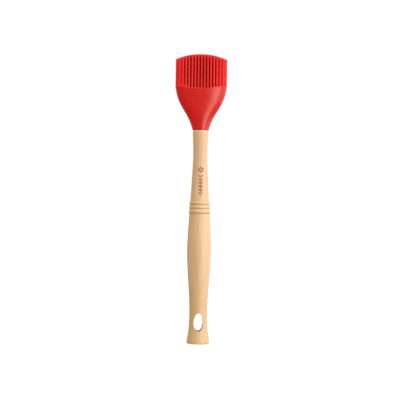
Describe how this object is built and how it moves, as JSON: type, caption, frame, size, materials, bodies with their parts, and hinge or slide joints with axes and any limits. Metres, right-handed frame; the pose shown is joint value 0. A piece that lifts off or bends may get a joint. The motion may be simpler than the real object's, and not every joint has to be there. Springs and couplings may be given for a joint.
{
  "type": "pastry brush",
  "caption": "Upright pastry brush: turned wooden handle with beads and a hanging hole, and a pull-off silicone head with rows of flexible bristles.",
  "frame": {"origin": "centre of the handle's flat foot", "axes": "+Z along the brush from the foot to the bristles' tips, +X across the head's width, +Y through the head's thickness; the broad front faces -Y"},
  "size_m": [0.0474, 0.022, 0.267],
  "materials": {
    "beech": "fine-grained turned beech, oiled satin",
    "silicone": "satin translucent red silicone",
    "nylon": "natural moulded nylon"
  },
  "bodies": {
    "handle": {"handle": "beech"},
    "head": {"head_shell": "silicone", "socket_core": "nylon"},
    "row_1": {"bristle_row_1": "silicone"},
    "row_2": {"bristle_row_2": "silicone"},
    "row_3": {"bristle_row_3": "silicone"},
    "row_4": {"bristle_row_4": "silicone"},
    "row_5": {"bristle_row_5": "silicone"},
    "row_6": {"bristle_row_6": "silicone"},
    "row_7": {"bristle_row_7": "silicone"}
  },
  "joints": [
    {"name": "head_pull_off", "type": "slide", "parent": "handle", "child": "head", "axis": [0, 0, 1], "range_m": [0, 0.03]},
    {"name": "bristle_bend", "type": "hinge", "parent": "head", "child": "row_4", "pos_m": [0, 0, 0.234], "axis": [1, 0, 0], "range_deg": [-30, 30], "stiffness_Nm_per_rad": 0.004},
    {"name": "row_1_bend", "type": "hinge", "parent": "head", "child": "row_1", "pos_m": [0, -0.0081, 0.234], "axis": [1, 0, 0], "range_deg": [-30, 30], "stiffness_Nm_per_rad": 0.004},
    {"name": "row_2_bend", "type": "hinge", "parent": "head", "child": "row_2", "pos_m": [0, -0.0054, 0.234], "axis": [1, 0, 0], "range_deg": [-30, 30], "stiffness_Nm_per_rad": 0.004},
    {"name": "row_3_bend", "type": "hinge", "parent": "head", "child": "row_3", "pos_m": [0, -0.0027, 0.234], "axis": [1, 0, 0], "range_deg": [-30, 30], "stiffness_Nm_per_rad": 0.004},
    {"name": "row_5_bend", "type": "hinge", "parent": "head", "child": "row_5", "pos_m": [0, 0.0027, 0.234], "axis": [1, 0, 0], "range_deg": [-30, 30], "stiffness_Nm_per_rad": 0.004},
    {"name": "row_6_bend", "type": "hinge", "parent": "head", "child": "row_6", "pos_m": [0, 0.0054, 0.234], "axis": [1, 0, 0], "range_deg": [-30, 30], "stiffness_Nm_per_rad": 0.004},
    {"name": "row_7_bend", "type": "hinge", "parent": "head", "child": "row_7", "pos_m": [0, 0.0081, 0.234], "axis": [1, 0, 0], "range_deg": [-30, 30], "stiffness_Nm_per_rad": 0.004}
  ],
  "couplings": [
    {"joint": "row_1_bend", "follows": "bristle_bend", "ratio": 1},
    {"joint": "row_2_bend", "follows": "bristle_bend", "ratio": 1},
    {"joint": "row_3_bend", "follows": "bristle_bend", "ratio": 1},
    {"joint": "row_5_bend", "follows": "bristle_bend", "ratio": 1},
    {"joint": "row_6_bend", "follows": "bristle_bend", "ratio": 1},
    {"joint": "row_7_bend", "follows": "bristle_bend", "ratio": 1}
  ]
}
